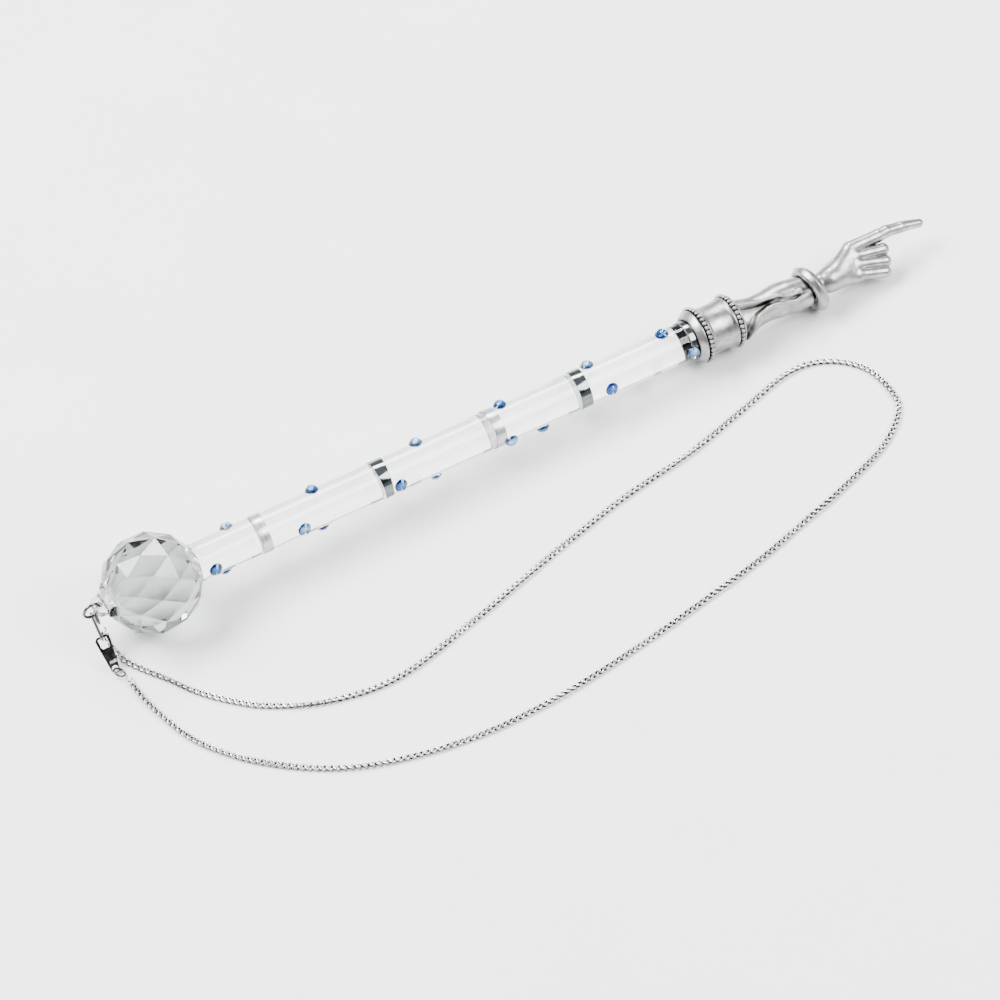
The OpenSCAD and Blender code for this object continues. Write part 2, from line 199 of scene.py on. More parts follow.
def wire_ring(path, normal, radius, sides):
    """A round wire along a closed flat path."""
    path = np.asarray(path, float)
    normal = np.asarray(normal, float)
    ahead = np.roll(path, -1, 0) - np.roll(path, 1, 0)
    ahead /= np.linalg.norm(ahead, axis=1)[:, None]
    side = np.cross(ahead, normal)
    turn = np.linspace(0, 2 * math.pi, sides, endpoint=False)
    points = (path[:, None] + radius * (np.cos(turn)[None, :, None] * side[:, None]
                                        + np.sin(turn)[None, :, None] * normal))
    return points.reshape(-1, 3), grid_faces(len(path), sides, close_rows=True)


def smoothstep(low, high, x):
    t = np.clip((x - low) / (high - low), 0, 1)
    return t * t * (3 - 2 * t)


# ---------- materials ----------

class Looks:
    """A Principled material with helpers for its texture nodes."""

    def __init__(self, name, color, metallic=0.0, roughness=0.3, transmission=0.0, ior=1.5):
        self.material = bpy.data.materials.new(name)
        self.material.use_nodes = True
        self.nodes = self.material.node_tree.nodes
        self.links = self.material.node_tree.links
        self.shader = self.nodes["Principled BSDF"]
        self.shader.inputs["Base Color"].default_value = (*color, 1)
        self.shader.inputs["Metallic"].default_value = metallic
        self.shader.inputs["Roughness"].default_value = roughness
        self.shader.inputs["Transmission Weight"].default_value = transmission
        self.shader.inputs["IOR"].default_value = ior
        self.place = self.nodes.new("ShaderNodeTexCoord").outputs["Object"]

    def noise(self, size, detail=3.0, stretch=None):
        """Noise whose features are size metres across; stretch is (s, across, across) in metres."""
        node = self.nodes.new("ShaderNodeTexNoise")
        node.inputs["Detail"].default_value = detail
        if stretch is None:
            node.inputs["Scale"].default_value = 1 / size
            self.links.new(self.place, node.inputs["Vector"])
        else:
            mapping = self.nodes.new("ShaderNodeMapping")
            mapping.vector_type = "TEXTURE"
            mapping.inputs["Rotation"].default_value = (0, LIE, 0)
            mapping.inputs["Scale"].default_value = stretch
            self.links.new(self.place, mapping.inputs["Vector"])
            self.links.new(mapping.outputs["Vector"], node.inputs["Vector"])
            node.inputs["Scale"].default_value = 1
        return node.outputs["Fac"]

    def spread(self, value, low, high, start=0.3, end=0.7):
        """A factor spread over a range of values."""
        node = self.nodes.new("ShaderNodeMapRange")
        node.inputs["From Min"].default_value = start
        node.inputs["From Max"].default_value = end
        node.inputs["To Min"].default_value = low
        node.inputs["To Max"].default_value = high
        self.links.new(value, node.inputs["Value"])
        return node.outputs["Result"]

    def ramp(self, value, stops):
        """Colours along a factor: (place, colour) pairs."""
        node = self.nodes.new("ShaderNodeValToRGB")
        elements = node.color_ramp.elements
        while len(elements) < len(stops):
            elements.new(0.5)
        for element, (place, color) in zip(elements, stops):
            element.position = place
            element.color = (*color, 1)
        self.links.new(value, node.inputs["Fac"])
        return node.outputs["Color"]

    def mottled(self, color, dark, size, detail):
        """A colour in patches, from dark times it to all of it."""
        darker = [c * dark for c in color]
        return self.ramp(self.noise(size, detail), [(0.3, darker), (0.7, color)])

    def times(self, a, b):
        """Two colours multiplied."""
        node = self.nodes.new("ShaderNodeMix")
        node.data_type = "RGBA"
        node.blend_type = "MULTIPLY"
        node.inputs["Factor"].default_value = 1
        self.links.new(a, node.inputs["A"])
        self.links.new(b, node.inputs["B"])
        return node.outputs["Result"]

    def recess(self, distance, stops):
        """Colours from open surface to deep recess."""
        node = self.nodes.new("ShaderNodeAmbientOcclusion")
        node.inputs["Distance"].default_value = distance
        node.samples = 6
        return self.ramp(node.outputs["AO"], stops)

    def bump(self, value, strength, height):
        """Relief of a height in metres, on top of any that is there already."""
        node = self.nodes.new("ShaderNodeBump")
        node.inputs["Strength"].default_value = strength
        node.inputs["Distance"].default_value = height
        self.links.new(value, node.inputs["Height"])
        previous = self.shader.inputs["Normal"]
        if previous.is_linked:
            self.links.new(previous.links[0].from_socket, node.inputs["Normal"])
        self.links.new(node.outputs["Normal"], previous)

    def feed(self, name, value):
        """Links a texture to a socket of the shader."""
        self.links.new(value, self.shader.inputs[name])


def clear_glass(name, color, wave):
    """Clear glass; wave is the height of its faint unevenness in metres."""
    looks = Looks(name, color, transmission=1.0, ior=1.49, roughness=0.0)
    looks.feed("Roughness", looks.spread(looks.noise(0.004, 4), 0.0, 0.03, 0.45, 0.8))
    looks.bump(looks.noise(0.006, 1), 0.08, wave)
    return looks.material


def mirror(name, color, streak, rough):
    """Mirror foil with fine lines round the rod; streak is their strength."""
    looks = Looks(name, color, metallic=1.0, roughness=rough)
    lines = looks.noise(0, 4, stretch=(0.00012, 0.02, 0.02))
    looks.feed("Roughness", looks.spread(lines, rough * 0.5, rough * 2))
    looks.feed("Base Color", looks.mottled(color, 0.75, 0.003, 3))
    looks.bump(lines, streak, 0.00002)
    return looks.material


def pewter(name, lathe_lines, tone=1.0):
    """Satin pewter, darkened in its recesses, with turning marks where it was turned."""
    light = [0.40 * tone, 0.405 * tone, 0.395 * tone]
    dull = [0.22 * tone, 0.225 * tone, 0.215 * tone]
    looks = Looks(name, light, metallic=1.0, roughness=0.42)
    patches = looks.ramp(looks.noise(0.0025, 5), [(0.3, dull), (0.7, light)])
    antiqued = looks.recess(0.0022, [(0.3, (0.02, 0.02, 0.02)), (0.65, (0.4, 0.4, 0.4)),
                                     (0.9, (1, 1, 1))])
    looks.feed("Base Color", looks.times(patches, antiqued))
    looks.feed("Roughness", looks.spread(looks.noise(0.0012, 4), 0.28, 0.42))
    looks.bump(looks.noise(0.0008, 3), 0.15, 0.00005)
    if lathe_lines:
        looks.bump(looks.noise(0, 3, stretch=(0.0002, 0.03, 0.03)), 0.3, 0.00005)
    return looks.material


def polished(name, color, rough, gap=0.0):
    """Polished metal; gap is how far a recess reaches before painted shade darkens it, or 0 for none.
    """
    looks = Looks(name, color, metallic=1.0, roughness=rough)
    looks.feed("Roughness", looks.spread(looks.noise(0.0008, 4), rough * 0.5, rough * 1.8))
    tone = looks.mottled(color, 0.86, 0.0015, 3)
    # painted shade: where other surfaces hem it in, the colour goes towards black
    if gap:
        tone = looks.times(tone, looks.recess(gap, [(0.42, (0.01, 0.01, 0.01)), (0.88, (1, 1, 1))]))
    looks.feed("Base Color", tone)
    looks.bump(looks.noise(0.0004, 2), 0.12, 0.00002)
    return looks.material


def matt(name, color):
    """A matt film, for the bands' underside and for their rims, which are painted near black as shade.
    """
    looks = Looks(name, color, roughness=0.5)
    looks.feed("Base Color", looks.mottled(color, 0.93, 0.0012, 4))
    looks.bump(looks.noise(0.0003, 3), 0.2, 0.00002)
    return looks.material


def gem(name, color):
    """Coloured glass for a stone's crown."""
    looks = Looks(name, color, transmission=1.0, ior=1.56, roughness=0.0)
    looks.feed("Base Color", looks.mottled(color, 0.9, 0.002, 2))
    return looks.material


def foil(name, color):
    """The foil at a stone's back."""
    looks = Looks(name, color, metallic=1.0, roughness=0.2)
    looks.feed("Base Color", looks.mottled(color, 0.6, 0.0009, 3))
    looks.feed("Roughness", looks.spread(looks.noise(0.0006, 3), 0.03, 0.14))
    return looks.material


# The ball's clear glass is tinted grey: painted shade, standing in for the shadowed floor seen through
# the ball
BALL_GLASS_SHADED = clear_glass("ball_glass_painted_shade", (0.42, 0.44, 0.435), 0.00002)
ROD_GLASS = clear_glass("rod_glass", (0.985, 0.993, 0.995), 0.00004)
BRIGHT_BAND = mirror("bright_band", (0.56, 0.57, 0.58), 0.1, 0.3)
# The dark bands' and the end sleeve's mirror colour is made dark: a painted dark reflection of the
# surroundings the polished foil mirrors
PAINTED_DARK_BAND = mirror("band_painted_dark_reflection", (0.17, 0.19, 0.20), 0.12, 0.09)
PAINTED_DARK_SLEEVE = mirror("sleeve_painted_dark_reflection", (0.16, 0.17, 0.18), 0.25, 0.1)
TURNED_PEWTER = pewter("turned_pewter", True)
CAST_PEWTER = pewter("cast_pewter", False, 1.05)
UNDERSIDE = matt("band_underside", (0.96, 0.965, 0.97))
# The bands' rims are near black: painted shade, a dark line along each band's edge
BAND_RIM_SHADE = matt("band_rim_painted_shade", (0.07, 0.075, 0.08))
SILVER = polished("polished_silver", (0.80, 0.80, 0.81), 0.07)
# The ring's and links' silver is coloured near black: a painted dark reflection, so that the polished
# wire shows black with bright edges
WIRE_SILVER_DARK_REFLECTION = polished("wire_silver_painted_dark_reflection", (0.13, 0.13, 0.135), 0.05)
# The chain's silver is darkened where its links crowd each other: painted shade in the gaps between
# the links
CHAIN_SILVER_GAP_SHADE = polished("chain_silver_painted_gap_shade", (0.76, 0.76, 0.76), 0.2, gap=0.0012)
# The links below the top ones are near black: painted shade, for the shadowed gaps the chain shows
# between its top links
CHAIN_UNDER_SHADE = polished("chain_underside_painted_shade", (0.03, 0.03, 0.03), 0.3)

# ---------- chain ----------

LYING_Z = 0.9
ROUTE_START = [(-141.3, -2.4, 8.6), (-141, -3.8, 6.1), (-140.4, -5.5, 3.5), (-139.9, -7.6, 1.6)]
ROUTE_LYING = [
    (-139.3, -9.9), (-138.4, -12.3), (-136.4, -16), (-132, -23), (-127.5, -31), (-121, -39),
    (-112.5, -46.5), (-97, -54), (-76, -57), (-48, -51), (-19, -43), (13, -35), (40, -30.5),
    (61, -25), (81, -20), (93, -22.5), (101, -31), (102.5, -43), (99, -50.5), (88, -58.5),
    (69, -65.5), (57, -69), (35, -75), (12, -79.5), (-11, -83.5), (-40, -87), (-67, -87),
    (-91, -82.5), (-109, -75), (-125, -62.5), (-136, -47.5), (-140.5, -32), (-141.6, -20.5),
    (-141.2, -16.6),
]
route = np.array(ROUTE_START + [(x, y, LYING_Z) for x, y in ROUTE_LYING])


def smooth_route(points, per_span):
    """A Catmull-Rom curve through the route's points."""
    out = []
    last = len(points) - 1
    for k in range(last):
        a, b, c, d = (points[min(max(i, 0), last)] for i in (k - 1, k, k + 1, k + 2))
        for j in range(per_span):
            t = j / per_span
            out.append(0.5 * (2 * b + (c - a) * t + (2 * a - 5 * b + 4 * c - d) * t * t
                              + (3 * b - a - 3 * c + d) * t ** 3))
    out.append(points[-1])
    return np.array(out)


chain_path = smooth_route(route, 24)
chain_run = np.concatenate(([0], np.cumsum(np.linalg.norm(np.diff(chain_path, axis=0), axis=1))))
chain_length = chain_run[-1]
chain_ahead = np.gradient(chain_path, chain_run, axis=0)
chain_ahead /= np.linalg.norm(chain_ahead, axis=1)[:, None]
chain_side = np.cross(chain_ahead, (0, 0, 1))
chain_side /= np.linalg.norm(chain_side, axis=1)[:, None]
chain_up = np.cross(chain_side, chain_ahead)

# The flat chain rocks a little from side to side as it lies: a few waves along it, each with a
# span in millimetres, a start and a size in degrees
ROCK_COUNT = 6
ROCK_SEED = 7
ABOUT_A_TURN = 6.28
random = np.random.default_rng(ROCK_SEED)
rocks = [(random.uniform(20, 90), random.uniform(0, ABOUT_A_TURN), random.uniform(3, 9))
         for _ in range(ROCK_COUNT)]
chain_rock = sum(np.radians(size) * np.sin(chain_run / span * ABOUT_A_TURN + start)
                 for span, start, size in rocks)
chain_b = chain_side * np.cos(chain_rock)[:, None] + chain_up * np.sin(chain_rock)[:, None]
chain_c = -chain_side * np.sin(chain_rock)[:, None] + chain_up * np.cos(chain_rock)[:, None]


def along_chain(a, b, c):
    """Points at a millimetres along the chain, b across it and c above its middle."""
    a = np.clip(a, 0, chain_length)
    at = [np.stack([np.interp(a, chain_run, table[:, i]) for i in range(3)], -1)
          for table in (chain_path, chain_b, chain_c)]
    return at[0] + at[1] * b[..., None] + at[2] * c[..., None]


LINK_PITCH = 2.0
LINK_WIRE = 0.29
LINK_FLAT = 0.75
LINK_SIDES = 8
LINK_TILT = 0.13
UPPER_LINK = 0.22
LOWER_LINK = -0.25
# Half of the chain's links are S shapes on top, and the other half are turned over below them and
# coloured near black, painted shade for the dark gaps between the top links
S_SHAPE = np.array([(-1.22, -0.32), (-1.1, -0.56), (-0.8, -0.66), (-0.42, -0.6), (-0.18, -0.3), (0, 0),
                    (0.18, 0.3), (0.42, 0.6), (0.8, 0.66), (1.1, 0.56), (1.22, 0.32)])


def s_link(middle, flip, height):
    """One S of flat wire; flip is -1 for the links on the underside."""
    bends = smooth_route(np.column_stack((S_SHAPE, np.zeros(len(S_SHAPE)))), 2)[:, :2]
    bends[:, 1] *= flip
    ahead = np.gradient(bends, axis=0)
    ahead /= np.linalg.norm(ahead, axis=1)[:, None]
    across = np.column_stack((ahead[:, 1], -ahead[:, 0]))
    turn = (np.arange(LINK_SIDES) + 0.5) * 2 * math.pi / LINK_SIDES
    a = middle + bends[:, 0, None] + LINK_WIRE * np.cos(turn) * across[:, 0, None]
    b = bends[:, 1, None] + LINK_WIRE * np.cos(turn) * across[:, 1, None]
    # each S tilts a little, one end over the next link and one end under it
    tilt = LINK_TILT * bends[:, 0, None] / S_SHAPE[-1][0]
    c = height + tilt + LINK_FLAT * LINK_WIRE * np.sin(turn)
    return along_chain(a, b, c).reshape(-1, 3), len(bends)


chain_points = []
chain_faces = []
chain_picks = []
link_count = int(chain_length / LINK_PITCH)
link_start = (chain_length - (link_count - 1) * LINK_PITCH) / 2
for n in range(link_count):
    for flip, height, shift in ((1, UPPER_LINK, 0), (-1, LOWER_LINK, LINK_PITCH / 2)):
        middle = link_start + n * LINK_PITCH + shift
        if middle > chain_length - 1:
            continue
        points, rows = s_link(middle, flip, height)
        start = len(chain_points) * rows * LINK_SIDES
        faces = grid_faces(rows, LINK_SIDES, start=start) + end_caps(rows, LINK_SIDES, start)
        chain_points.append(points)
        chain_faces += faces
        chain_picks += [0 if flip == 1 else 1] * len(faces)
chain = piece("neck_chain", np.concatenate(chain_points), chain_faces, plain,
              [CHAIN_SILVER_GAP_SHADE, CHAIN_UNDER_SHADE], None, replaces=["chain"], picks=chain_picks)
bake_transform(chain)

# ---------- ring, links and clasp ----------

RING_R = 2.5
RING_WIRE_R = 0.45
# Where the ring hangs, and the points where the clasp's link, the tail ring and the end link do
RING_CENTRE = Vector((-143.18, 0, 14.7166))
HANG_POINT = Vector((-143.18, 0, 12.2166))
TAIL_HOLE = Vector((-143.18, -12.452, 1.54394))
END_POINT = Vector((-142.084, 0, 12.4697))


def spin(axis, degrees):
    return Matrix.Rotation(math.radians(degrees), 4, axis)


def circle(radius, count):
    turn = np.linspace(0, 2 * math.pi, count, endpoint=False)
    return np.column_stack((radius * np.cos(turn), radius * np.sin(turn), 0 * turn))


def oval(in_w, in_l, wire_r):
    """The middle line of an oval link, its first bend's inside at the origin, along -Y."""
    bend_r = in_w / 2 + wire_r
    straight = in_l - in_w
    turn = np.linspace(0, math.pi, 33)
    x, y = bend_r * np.cos(turn), bend_r * np.sin(turn)
    top = np.column_stack((x, y - in_w / 2, 0 * turn))
    foot = np.column_stack((-x, -y - in_w / 2 - straight, 0 * turn))
    return np.concatenate((top, foot))


def silver_wire(name, path, radius, matrix, body):
    """A ring or link of round wire, its path flat in its own XY plane."""
    points, faces = wire_ring(path, (0, 0, 1), radius, sides=24)
    piece(name + "_wire", points, faces, turned(matrix), [WIRE_SILVER_DARK_REFLECTION], body,
          replaces=[name])


ring_matrix = Matrix.Translation(RING_CENTRE) @ spin("X", 90)
silver_wire("lug_ring", circle(RING_R, 96), RING_WIRE_R, ring_matrix, "lug_ring")
slope = Matrix.Translation(HANG_POINT) @ spin("X", 40.6)
oval_matrix = slope @ spin("Y", 75) @ Matrix.Translation((0, 0.48, 0))
silver_wire("oval_link", oval(1.8, 7.46, 0.4), 0.4, oval_matrix, "oval_link")
end_matrix = (Matrix.Translation(END_POINT) @ spin("Z", 6) @ spin("X", 60) @ spin("Y", 80)
              @ Matrix.Translation((0, 0.57, 0)))
silver_wire("end_link", oval(1.7, 3.4, 0.3), 0.3, end_matrix, "end_link")
tail_matrix = (Matrix.Translation(TAIL_HOLE - Vector((0.16, 0, 0))) @ spin("Z", 25) @ spin("Y", 27)
               @ spin("X", 10) @ Matrix.Translation((0, -1.75, 0)))
silver_wire("tail_ring", circle(1.75, 72), 0.29, tail_matrix, "tail_ring")


def dress(node, material, bevel, hard=40):
    """Keeps a CAD node, with soft edges and its material."""
    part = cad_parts[node]
    part.data.materials.clear()
    part.data.materials.append(material)
    if bevel:
        soften = part.modifiers.new("soften", "BEVEL")
        soften.width = bevel
        soften.segments = 2
        soften.limit_method = "ANGLE"
        soften.angle_limit = math.radians(hard)
        soften.harden_normals = False
    return part


for node in ("clasp_base", "clasp_cover", "clasp_pin"):
    dress(node, SILVER, 0.00007)

# ---------- ball and rod ----------

dress("crystal_ball", BALL_GLASS_SHADED, 0.00008, hard=8)

ROD_OVERLAP = 0.05
EDGE = 0.25
# the middle of the rounded edge, inside its corner
EDGE_IN = 0.07
TUBE_SIDES = 192
rod_profile = [(ROD_R - EDGE, SEAT_S - ROD_OVERLAP), (ROD_R - EDGE_IN, SEAT_S + 0.1),
               (ROD_R, SEAT_S + EDGE)]
rod_profile += [(ROD_R, s) for s in np.linspace(SEAT_S + 2, ROD_END_S - 2, 24)]
rod_profile += [(ROD_R, ROD_END_S - EDGE), (ROD_R - EDGE_IN, ROD_END_S - EDGE_IN),
                (ROD_R - EDGE, ROD_END_S - 0.02)]
points, faces = solid_lathe(rod_profile, TUBE_SIDES)
piece("glass_rod", points, faces, wand, [ROD_GLASS], "wand",
      replaces=["clear_rod"], sharp=40)

# ---------- bands and end sleeve ----------

# Each band is foil wrapped by hand, so it leans a little and its width is not quite even:
# middle, width above, width below, lean, look
BANDS = [(36.3, 3.5, 3.1, 1.1, BRIGHT_BAND), (76.9, 4.3, 2.5, 1.0, PAINTED_DARK_BAND),
         (114.6, 3.4, 3.5, 0.2, BRIGHT_BAND), (144.3, 3.8, 3.6, 0.8, PAINTED_DARK_BAND)]
FACING = math.radians(35.4)
GLUE = 0.02
# how far out along a band its rim begins, as a share of half its width; the rim is painted near black,
# a painted shade line along the band's edge
EDGE_FROM = 0.94


def metal_tube(name, node, middle, width_above, width_below, lean, material, underside):
    """Thin metal round the rod, with its own look on the side against the glass.

    The middle and the two widths are in millimetres along the rod; lean is how far the side
    facing up runs back.
    """
    turn = np.linspace(0, 2 * math.pi, TUBE_SIDES, endpoint=False)
    centre = middle - lean * np.cos(turn)
    half = (width_above + width_below) / 4 - (width_above - width_below) / 4 * np.sin(turn)
    section = rounded([(ROD_R + GLUE, -1), (METAL_R, -1), (METAL_R, 1), (ROD_R + GLUE, 1)], 0.05)
    angle = turn + FACING
    points = []
    for r, end in section:
        points.append(np.column_stack((centre + half * end, -r * np.sin(angle), r * np.cos(angle))))
    faces = grid_faces(len(section), TUBE_SIDES, close_rows=True)
    inner = [r < ROD_R + 1.5 * GLUE for r, _ in section]
    picks = []
    for k in range(len(section)):
        after = (k + 1) % len(section)
        # rim faces take the near-black painted shade, faces against the glass the underside
        on_rim = abs(section[k][1] + section[after][1]) / 2 > EDGE_FROM
        picks += [2 if on_rim else int(inner[k] and inner[after])] * TUBE_SIDES
    piece(name, np.concatenate(points), faces, wand, [material, underside, BAND_RIM_SHADE], "wand",
          replaces=[node], sharp=50, picks=picks)


for i, (middle, above, below, lean, look) in enumerate(BANDS, 1):
    metal_tube(f"polished_band_{i}", f"band_{i}", middle, above, below, lean, look, UNDERSIDE)
SLEEVE_MIDDLE = 186.9
SLEEVE_LENGTH = 13.8
metal_tube("polished_sleeve", "end_sleeve", SLEEVE_MIDDLE, SLEEVE_LENGTH, SLEEVE_LENGTH, 0,
           PAINTED_DARK_SLEEVE, PAINTED_DARK_SLEEVE)

# ---------- stones ----------

STONE_R = 2.05
STONE_H = 1.4
GIRDLE_H = 0.4
FOOT_SHARE = 0.93
FOOT_LIFT = 0.03
SKIRT_H = 0.35
SKIRT_TOP = 0.1
CROWN_STEP = 0.5
CROWN_ZIGZAG = 0.1
CROWN_SHARES = (0.80, 0.74)
TABLE_SHARE = 0.6
# Each row's stones: place along the rod, turn about it in degrees, 1 where it sits on metal
ROWS = {
    "a": [(27, -40, 0), (55, -28, 0), (90, -28, 0), (118.6, -27, 0), (148.5, -28, 0), (173.5, -15, 0)],
    "b": [(18, 80, 0), (47.5, 80, 0), (80, 80, 0), (117.5, 100, 1), (152, 78, 0), (180.2, 80, 1)],
    "c": [(23, 158, 0), (55.5, 155, 0), (93.5, 153, 0), (129.5, 138, 0), (163, 170, 0)],
    "d": [(31, -100, 0), (66, -100, 0), (104, -100, 0), (137, -100, 0), (170, -100, 0)],
}
DEEP = ("a2", "a4", "a6", "b1", "b3", "b5", "c2", "c4", "d1", "d3", "d5")
DEEP_GEM = gem("deep_blue_glass", (0.58, 0.84, 0.99))
PALE_GEM = gem("pale_blue_glass", (0.86, 0.94, 0.99))
DEEP_FOIL = foil("deep_blue_foil", (0.02, 0.25, 0.66))
PALE_FOIL = foil("pale_blue_foil", (0.32, 0.60, 0.92))
STONE_FACETS = 8
CUP_R = 1.78
CUP_TOP = 0.68
CUP_RINGS = ((0.72, 0.2), (1.02, 0.36))
CUP_FLOOR = 0.06


def stone(code, s, angle, seat_r):
    """A flat-backed chaton: a faceted crown over a shallow foiled cup on the rod."""
    count = 2 * STONE_FACETS
    odd = np.arange(count) % 2
    turn_fine = np.linspace(0, 2 * math.pi, count, endpoint=False)

    def ground(y):
        """Height of the seat's round surface, y across the rod from the stone's middle."""
        return np.sqrt(seat_r ** 2 - y ** 2) + FOOT_LIFT

    x, y = STONE_R * np.cos(turn_fine), STONE_R * np.sin(turn_fine)
    foot_x, foot_y = x * FOOT_SHARE, y * FOOT_SHARE
    skirt_z = np.minimum(ground(y) + SKIRT_H, seat_r + SKIRT_TOP)
    crown_r = np.where(odd == 0, *CROWN_SHARES) * STONE_R
    crown_z = seat_r + GIRDLE_H + CROWN_STEP + CROWN_ZIGZAG * odd
    rings = [np.column_stack((foot_x, foot_y, ground(foot_y))),
             np.column_stack((x, y, skirt_z)),
             np.column_stack((x, y, seat_r + GIRDLE_H + 0 * x)),
             np.column_stack((crown_r * np.cos(turn_fine), crown_r * np.sin(turn_fine), crown_z))]
    table_r = TABLE_SHARE * STONE_R
    turn = np.linspace(0, 2 * math.pi, STONE_FACETS, endpoint=False) + math.pi / STONE_FACETS
    table = np.column_stack((table_r * np.cos(turn), table_r * np.sin(turn),
                             seat_r + STONE_H + 0 * turn))
    points = list(np.concatenate(rings)) + list(table)
    faces = grid_faces(len(rings), count)
    top = 3 * count
    base = 4 * count
    for k in range(STONE_FACETS):
        left = top + 2 * k
        mid = top + 2 * k + 1
        right = top + (2 * k + 2) % count
        here = base + k
        after = base + (k + 1) % STONE_FACETS
        faces += [(left, mid, here), (mid, right, here), (right, after, here)]
    faces.append(tuple(base + k for k in range(STONE_FACETS)))
    faces.append(tuple(range(count)))
    # the flat back and the foot round it are foil, and the rest is glass
    picks = [1] * count + [0] * (len(faces) - count - 1) + [1]
    # the foiled cup inside
    start = len(points)
    for k, a in enumerate(turn_fine):
        points.append((CUP_R * math.cos(a), CUP_R * math.sin(a), seat_r + CUP_TOP))
    for k, a in enumerate(turn_fine):
        ring_r, ring_z = CUP_RINGS[k % 2]
        points.append((ring_r * math.cos(a), ring_r * math.sin(a), seat_r + ring_z))
    points.append((0, 0, seat_r + CUP_FLOOR))
    cup = grid_faces(2, count, start=start)
    cup += [(start + count + k, start + count + (k + 1) % count, start + 2 * count)
            for k in range(count)]
    faces += cup
    picks += [1] * len(cup)
    roll = Matrix.Rotation(math.radians(angle), 3, "X")
    spun = [roll @ Vector(p) for p in points]
    placed = [(s + p.x, p.y, p.z) for p in spun]
    deep = code in DEEP
    looks = [DEEP_GEM, DEEP_FOIL] if deep else [PALE_GEM, PALE_FOIL]
    piece(f"gem_{code}", placed, faces, wand, looks, "wand", replaces=[f"stone_{code}"],
          sharp=0, picks=picks)


for row, places in ROWS.items():
    for i, (s, angle, on_metal) in enumerate(places, 1):
        stone(f"{row}{i}", s, angle, METAL_R if on_metal else ROD_R)

# ---------- ferrule and beads ----------

FLANGE_S = 182.3
REAR_S = 185.5
FRONT_S = 196.4
RIM_S = 198
GROOVE_R = 7
BORE_R = METAL_R + GLUE
GROOVE_HALF = 0.8
# The flange, the rear groove, the waisted barrel, the front groove and the rim, then the bore:
# radius, place along the rod
ferrule_outline = [
    (BORE_R, FLANGE_S), (6.8, FLANGE_S), (8.15, REAR_S - 1.5), (8.2, REAR_S - 1.15),
    (7.9, REAR_S - GROOVE_HALF), (GROOVE_R, REAR_S - GROOVE_HALF), (GROOVE_R, REAR_S + GROOVE_HALF),
    (8, REAR_S + GROOVE_HALF), (7.95, REAR_S + 1.25), (7.45, REAR_S + 1.9), (7.3, 189), (7.2, 190.5),
    (7.25, 192.4), (7.42, FRONT_S - 2.2), (7.8, FRONT_S - 1.3), (7.8, FRONT_S - GROOVE_HALF),
    (GROOVE_R, FRONT_S - GROOVE_HALF), (GROOVE_R, FRONT_S + GROOVE_HALF),
    (7.6, FRONT_S + GROOVE_HALF), (7.6, RIM_S - 0.3), (7.3, RIM_S), (0.05, RIM_S),
    (0.05, ROD_END_S + GLUE), (BORE_R, ROD_END_S + GLUE),
]
points, faces = lathe(rounded(ferrule_outline, 0.18), 256)
piece("turned_ferrule", points, faces, wand, [TURNED_PEWTER], "wand",
      replaces=["ferrule"], sharp=60)

# A bead's half size along the rod, round it and out of it
BEAD = (0.70, 0.66, 0.70)
BEAD_WOBBLE = 0.05
CORE_DEPTH = 0.5


def beaded_wire(name, s, count, centre_r, node):
    """A ring of beads cast on a core that fills the groove."""
    core_r = centre_r - CORE_DEPTH
    outline = [(GROOVE_R, s - 0.78), (core_r, s - 0.5), (core_r, s + 0.5), (GROOVE_R, s + 0.78)]
    points, faces = lathe(rounded(outline, 0.2), 160)
    points = list(points)
    rows, columns = 13, 20
    for k in range(count):
        around = 2 * math.pi * k / count
        wobble = 1 + BEAD_WOBBLE * math.sin(k * 2.4)
        start = len(points)
        for i in range(rows):
            tall = math.pi * (i + 0.5) / rows
            for j in range(columns):
                turn = 2 * math.pi * j / columns
                ds = BEAD[0] * wobble * math.sin(tall) * math.cos(turn)
                dt = BEAD[1] * math.sin(tall) * math.sin(turn)
                dr = BEAD[2] * math.cos(tall)
                r = centre_r + dr
                points.append((s + ds, r * math.cos(around) - dt * math.sin(around),
                               r * math.sin(around) + dt * math.cos(around)))
        faces += grid_faces(rows, columns, start=start) + end_caps(rows, columns, start)
    piece(name, points, faces, wand, [CAST_PEWTER], "wand", replaces=[node], sharp=60)


beaded_wire("rear_beads", REAR_S, 36, 8.15, "bead_wire_rear")
beaded_wire("front_beads", FRONT_S, 34, 7.8, "bead_wire_front")

# ---------- sleeve of the arm ----------

SLEEVE_END_S = 222.4
# Outline seen square on, from the ferrule to the cuff: s, upper edge, lower edge, half depth
SLEEVE = np.array([
    (198.0, 5.6, -7.2, 5.6), (199.4, 5.3, -7.3, 5.4), (201, 4.8, -6.9, 5.2), (202.7, 4.4, -6.1, 4.9),
    (205, 4.0, -5.4, 4.6), (208.3, 4.1, -5.1, 4.5), (213, 4.8, -5.5, 4.7), (216.4, 4.6, -6.0, 4.9),
    (218.8, 4.2, -6.1, 4.9), (220.4, 4.0, -6.1, 4.8), (SLEEVE_END_S, 3.8, -6.0, 4.6),
])
# The hems on both sides of the open fold: s, height of the hem
LOWER_FOLD = np.array([
    (198, -8), (200.4, -6), (203.8, -2), (207.2, -1), (210.1, -1), (213, -1.8), (216.6, -2.4),
    (218.6, -2.1), (SLEEVE_END_S, -1.9),
])
UPPER_FOLD = np.array([
    (198, 3.2), (201.3, 2.4), (207.2, 1), (211.7, 0.5), (214.1, -0.5), (218.6, -1.2),
    (SLEEVE_END_S, -1.6),
])
FOLD_EDGE = 0.55
HEM_OUT = 0.25
HEM_W = 0.42
HEM_H = 0.42
